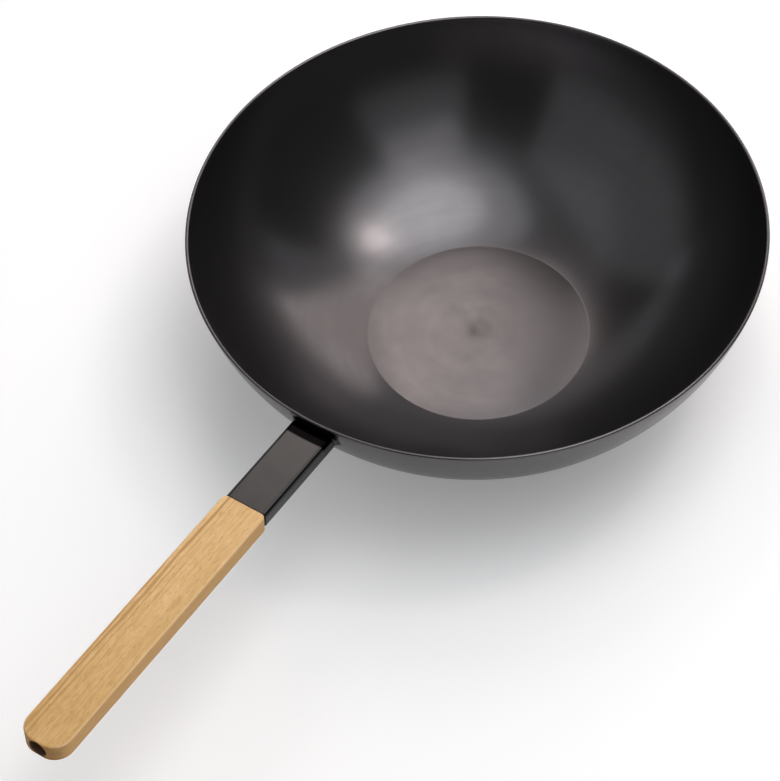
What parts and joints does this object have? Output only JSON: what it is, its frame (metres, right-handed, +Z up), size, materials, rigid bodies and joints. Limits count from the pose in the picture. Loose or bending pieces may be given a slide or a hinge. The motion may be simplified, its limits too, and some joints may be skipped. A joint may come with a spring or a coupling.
{
  "type": "wok",
  "caption": "Flat-bottomed spun steel wok with a rectangular lacquered steel neck under its rim and a straight beech grip held on by a tie bolt.",
  "frame": {"origin": "centre of the bowl's flat underside, on the surface that the wok stands on", "axes": "+X along the handle away from the bowl, +Z up along the bowl's axis"},
  "size_m": [0.5506, 0.32, 0.1064],
  "materials": {
    "blued_steel": "spun, dark oxide, satin",
    "black_lacquer": "gloss",
    "plain_steel": "bright, as rolled",
    "beech": "oiled, satin",
    "black_oxide": "black oxide"
  },
  "bodies": {
    "root": {"bowl": "blued_steel", "neck_tube": "black_lacquer", "neck_weld": "black_lacquer", "tang": "plain_steel", "grip": "beech", "tie_bolt": "black_oxide", "grip_washer": "plain_steel"}
  },
  "joints": []
}
